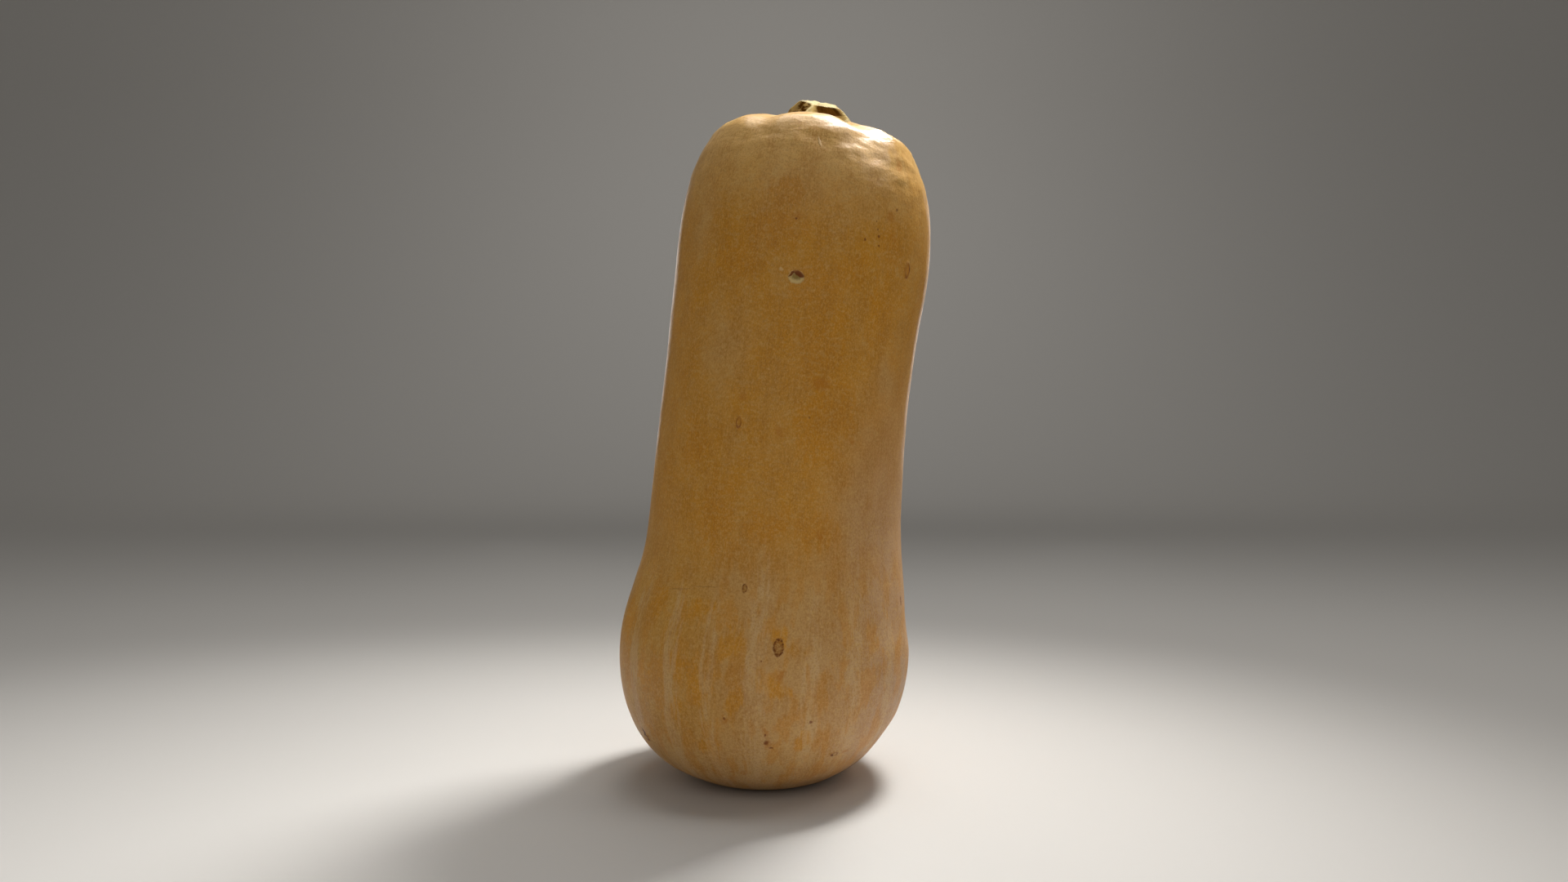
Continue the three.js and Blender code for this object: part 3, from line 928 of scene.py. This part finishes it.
def dry_stem():
    """Dried squash peduncle: woody and matt, straw on the ribs and brown in the flutes between them,
    with a pale corky cut end. Painted shade darkens the flutes, most under the cut, and a painted
    highlight lightens the ribs."""
    material, tree = new_material("dry_woody_stem")
    growth = add_node(tree, "ShaderNodeAttribute", attribute_name="growth").outputs["Vector"]
    run = add_node(tree, "ShaderNodeSeparateXYZ", {0: growth}).outputs["Z"]
    flute_shade = add_node(tree, "ShaderNodeAttribute", attribute_name="flute_shade").outputs["Fac"]
    shares = {name: blotches(tree, growth, *sizes) for name, sizes in STEM_PATTERNS.items()}
    stained = combined(tree, "MULTIPLY", shares["stains"], STAINS_IN_SHADE)
    shady = combined(tree, "ADD", flute_shade, stained)
    for name, (start, full) in STEM_SHADES.items():
        shares[name] = share_between(tree, shady, start, full)
    ragged = combined(
        tree, "ADD", run, combined(tree, "MULTIPLY", shares["grit"], CUT_EDGE_RAGGED))
    shares["cut"] = share_between(
        tree, ragged, STEM_CUT_RUN + CUT_EDGE_START, STEM_CUT_RUN + CUT_EDGE_FULL)
    shares["pith"] = share_between(tree, run, STEM_CUT_RUN + PITH_START, STEM_CUT_RUN + PITH_FULL)

    smoothest, roughest = BARK_ROUGHNESS
    roughness = add_node(tree, "ShaderNodeMapRange", {
        "Value": shares["fibres"], "To Min": smoothest, "To Max": roughest,
    }).outputs[0]
    shader = surfaced(
        tree, painted(tree, shares, STEM_GROUND, STEM_COATS), roughness,
        raised(tree, shares, STEM_BUMPS, STEM_BUMP_HEIGHT))
    shader.inputs["Specular IOR Level"].default_value = 0
    return material


def seamless_paper():
    """Matt white paper roll, with a tooth too fine to see."""
    material, tree = new_material("seamless_paper")
    shader = tree.nodes["Principled BSDF"]
    shader.inputs["Base Color"].default_value = colour(PAPER_COLOUR)
    shader.inputs["Roughness"].default_value = PAPER_ROUGHNESS
    shader.inputs["Specular IOR Level"].default_value = 0
    return material


# ---- studio ----

FRAME_WIDTH = 1920
FOCAL_PIXELS = 1303.7
SENSOR_WIDTH = 36
CAMERA_PLACE = Vector((3.25, -400.3, 124.3))
CAMERA_CLIP_START = 10
# The paper sweep, in metres: its front edge, where it starts to curve up, the radius of the curve,
# its top edge and half its width.
PAPER_FRONT, PAPER_BACK, PAPER_CURVE, PAPER_TOP, PAPER_HALF_WIDTH = -2.5, 1.6, 1.2, 3.2, 4
PAPER_CURVE_STEPS = 24
PAPER_COLOUR, PAPER_ROUGHNESS = "#d0ccc6", 0.9
ROOM_STRENGTH, ROOM_TINT = 0.2, "#f2f1ef"
# Lights, in metres: name, place, what it faces, width, height, watts, and spread in degrees.
# A small spread is a fabric grid, which keeps light off the paper.
SOFTBOXES = [
    ("overhead_softbox", (0.05, 0.12, 0.8), (0.01, 0, 0.2), 0.5, 0.5, 2.25, 180),
    ("crown_light", (0.205, 0.2, 0.7), (0.02, 0, 0.225), 0.15, 0.2, 0.72, 60),
    ("shoulder_light", (0.3, -0.06, 0.5), (0.03, 0, 0.23), 0.16, 0.16, 0.03, 60),
    ("left_rim_light", (-0.42, 1.15, 0.32), (0, 0, 0.13), 0.04, 0.46, 0.03, 30),
    ("right_rim_light", (0.47, 1.1, 0.29), (0.01, 0, 0.14), 0.06, 0.44, 0.026, 30),
    ("front_fill", (-0.06, -1.3, 0.98), (0, 0, 0.16), 2.6, 0.9, 2.9, 180),
    ("backdrop_light", (0, 1.0, 1.7), (0, 2.8, 0.7), 1.6, 0.4, 3.4, 120),
]


def camera():
    data = bpy.data.cameras.new("camera")
    data.sensor_width = SENSOR_WIDTH
    data.lens = SENSOR_WIDTH * FOCAL_PIXELS / FRAME_WIDTH
    data.clip_start = CAMERA_CLIP_START * MM
    eye = bpy.data.objects.new("camera", data)
    eye.location = CAMERA_PLACE * MM
    eye.rotation_euler = (math.pi / 2, 0, 0)
    bpy.context.scene.collection.objects.link(eye)
    bpy.context.scene.camera = eye


def softbox(name, place, aim, width, height, power, spread):
    data = bpy.data.lights.new(name, "AREA")
    data.shape = "RECTANGLE"
    data.size, data.size_y = width, height
    data.energy = power
    data.spread = math.radians(spread)
    lamp = bpy.data.objects.new(name, data)
    lamp.location = place
    lamp.visible_camera = False
    lamp.rotation_euler = (Vector(aim) - Vector(place)).to_track_quat("-Z", "Y").to_euler()
    bpy.context.scene.collection.objects.link(lamp)


def sweep(material):
    """A pale paper sweep: the floor runs back and curves up into the backdrop."""
    section = [(PAPER_FRONT, 0), (PAPER_BACK, 0)]
    for step in range(1, PAPER_CURVE_STEPS + 1):
        turn = math.pi / 2 * step / PAPER_CURVE_STEPS
        section.append((PAPER_BACK + PAPER_CURVE * math.sin(turn), PAPER_CURVE * (1 - math.cos(turn))))
    section.append((PAPER_BACK + PAPER_CURVE, PAPER_TOP))
    bm = bmesh.new()
    verts = [bm.verts.new((-PAPER_HALF_WIDTH, y, z)) for y, z in section]
    edges = [bm.edges.new(pair) for pair in zip(verts, verts[1:])]
    made = bmesh.ops.extrude_edge_only(bm, edges=edges)["geom"]
    moved = [part for part in made if isinstance(part, bmesh.types.BMVert)]
    bmesh.ops.translate(bm, verts=moved, vec=(2 * PAPER_HALF_WIDTH, 0, 0))
    for face in bm.faces:
        face.smooth = True
    mesh = bpy.data.meshes.new("paper_sweep")
    bm.to_mesh(mesh)
    bm.free()
    mesh.materials.append(material)
    paper = bpy.data.objects.new("paper_sweep", mesh)
    bpy.context.scene.collection.objects.link(paper)


def room_light(strength, tint):
    """Even light from all round, as from the walls of a pale room."""
    world = bpy.data.worlds.new("studio_room")
    bpy.context.scene.world = world
    world.use_nodes = True
    background = world.node_tree.nodes["Background"]
    background.inputs["Color"].default_value = colour(tint)
    background.inputs["Strength"].default_value = strength


camera()
sweep(seamless_paper())
room_light(ROOM_STRENGTH, ROOM_TINT)
for settings in SOFTBOXES:
    softbox(*settings)
bpy.context.scene.view_settings.view_transform = "Standard"

fruit(rind())
stem(dry_stem())
